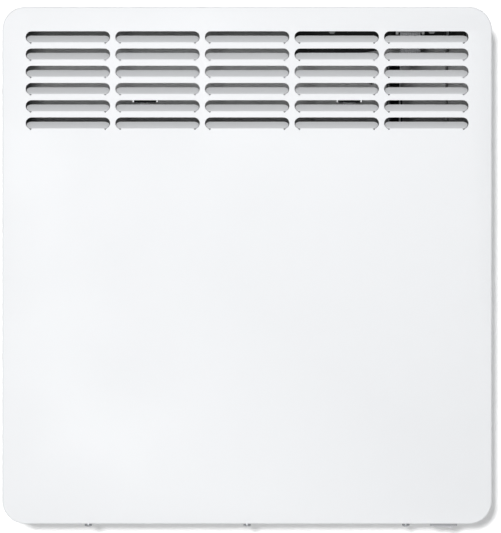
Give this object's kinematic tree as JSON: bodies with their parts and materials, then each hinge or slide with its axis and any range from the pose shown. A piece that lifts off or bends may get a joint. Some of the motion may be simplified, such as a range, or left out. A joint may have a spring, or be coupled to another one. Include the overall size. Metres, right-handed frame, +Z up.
{
  "type": "wall panel convector heater",
  "caption": "Flat white steel wall convector heater with rows of louvres, keys and a display in the top face, a rocker switch underneath, and a wall bracket with turn locks.",
  "frame": {"origin": "on the wall, at the centre of the back face of the wall bracket's upper strip", "axes": "+X to the right as seen from the room, +Y into the wall, +Z up; the louvred front faces -Y"},
  "size_m": [0.426, 0.123, 0.4557],
  "materials": {
    "powder_white": "satin powder coat",
    "zinc_sheet": "zinc-plated sheet",
    "dark_sheet": "dark heat-resistant paint on sheet",
    "aluminium": "plain",
    "bright_steel": "plated",
    "black_plastic": "fine grain",
    "pale_plastic": "satin",
    "grey_plastic": "satin",
    "ceramic": "unglazed ceramic",
    "circuit_board": "solder mask",
    "dark_window": "gloss",
    "relay_blue": "gloss",
    "rubber": "matte",
    "lead_brown": "insulation",
    "lead_blue": "insulation",
    "lead_white": "silicone insulation",
    "lead_grey": "insulation"
  },
  "bodies": {
    "heater": {"front_cover": "powder_white", "rear_panel": "zinc_sheet", "wall_bracket": "zinc_sheet", "lock_bush_left": "pale_plastic", "lock_bush_right": "pale_plastic", "cover_screw_left": "bright_steel", "cover_screw_middle": "bright_steel", "cover_screw_right": "bright_steel", "partition_plate": "dark_sheet", "grommet_lower": "rubber", "grommet_upper": "rubber", "heat_shield": "aluminium", "air_baffle": "dark_sheet", "element_body": "aluminium", "element_rod": "bright_steel", "element_support_left": "zinc_sheet", "element_support_right": "zinc_sheet", "element_bush_left": "ceramic", "element_bush_right": "ceramic", "safety_cutout": "black_plastic", "lead_clip_right": "pale_plastic", "lead_clip_left": "pale_plastic", "control_housing": "black_plastic", "housing_clip_left": "bright_steel", "housing_clip_right": "bright_steel", "housing_screw_left": "bright_steel", "housing_screw_right": "bright_steel", "control_fascia": "pale_plastic", "display_window": "dark_window", "display_module": "grey_plastic", "control_board": "circuit_board", "ribbon_plug_upper": "pale_plastic", "ribbon_cable": "lead_grey", "ribbon_plug_lower": "grey_plastic", "board_carrier": "pale_plastic", "power_board": "circuit_board", "relay": "relay_blue", "filter_capacitor": "black_plastic", "terminal_block": "pale_plastic", "cord_gland": "rubber", "cord_clamp": "pale_plastic", "earth_screw": "bright_steel", "mains_switch": "grey_plastic", "sensor_holder": "pale_plastic", "room_sensor": "black_plastic", "lead_element_right": "lead_white", "lead_cutout_right": "lead_white", "lead_cutout_left": "lead_white", "lead_sensor": "lead_grey", "lead_switch_in": "lead_brown", "lead_switch_out": "lead_brown", "lead_neutral": "lead_blue"},
    "left_lock": {"lock_left": "black_plastic"},
    "right_lock": {"lock_right": "black_plastic"},
    "rocker": {"mains_rocker": "grey_plastic"},
    "menu_key": {"key_menu": "grey_plastic"},
    "minus_key": {"key_minus": "grey_plastic"},
    "plus_key": {"key_plus": "grey_plastic"},
    "ok_key": {"key_ok": "grey_plastic"}
  },
  "joints": [
    {"name": "lock_left_turn", "type": "hinge", "parent": "heater", "child": "left_lock", "pos_m": [-0.09, -0.0295, -0.0015], "axis": [0, 1, 0], "range_deg": [0, 90]},
    {"name": "lock_right_turn", "type": "hinge", "parent": "heater", "child": "right_lock", "pos_m": [0.09, -0.0295, -0.0015], "axis": [0, 1, 0], "range_deg": [0, 90]},
    {"name": "mains_rocker_tilt", "type": "hinge", "parent": "heater", "child": "rocker", "pos_m": [0.1716, -0.105, -0.3702], "axis": [0, -1, 0], "range_deg": [0, 14]},
    {"name": "menu_press", "type": "slide", "parent": "heater", "child": "menu_key", "axis": [0, 0, -1], "range_m": [0, 0.0006], "stiffness_N_per_m": 800, "springref_m": -0.0005},
    {"name": "minus_press", "type": "slide", "parent": "heater", "child": "minus_key", "axis": [0, 0, -1], "range_m": [0, 0.0006], "stiffness_N_per_m": 800, "springref_m": -0.0005},
    {"name": "plus_press", "type": "slide", "parent": "heater", "child": "plus_key", "axis": [0, 0, -1], "range_m": [0, 0.0006], "stiffness_N_per_m": 800, "springref_m": -0.0005},
    {"name": "ok_press", "type": "slide", "parent": "heater", "child": "ok_key", "axis": [0, 0, -1], "range_m": [0, 0.0006], "stiffness_N_per_m": 800, "springref_m": -0.0005}
  ]
}
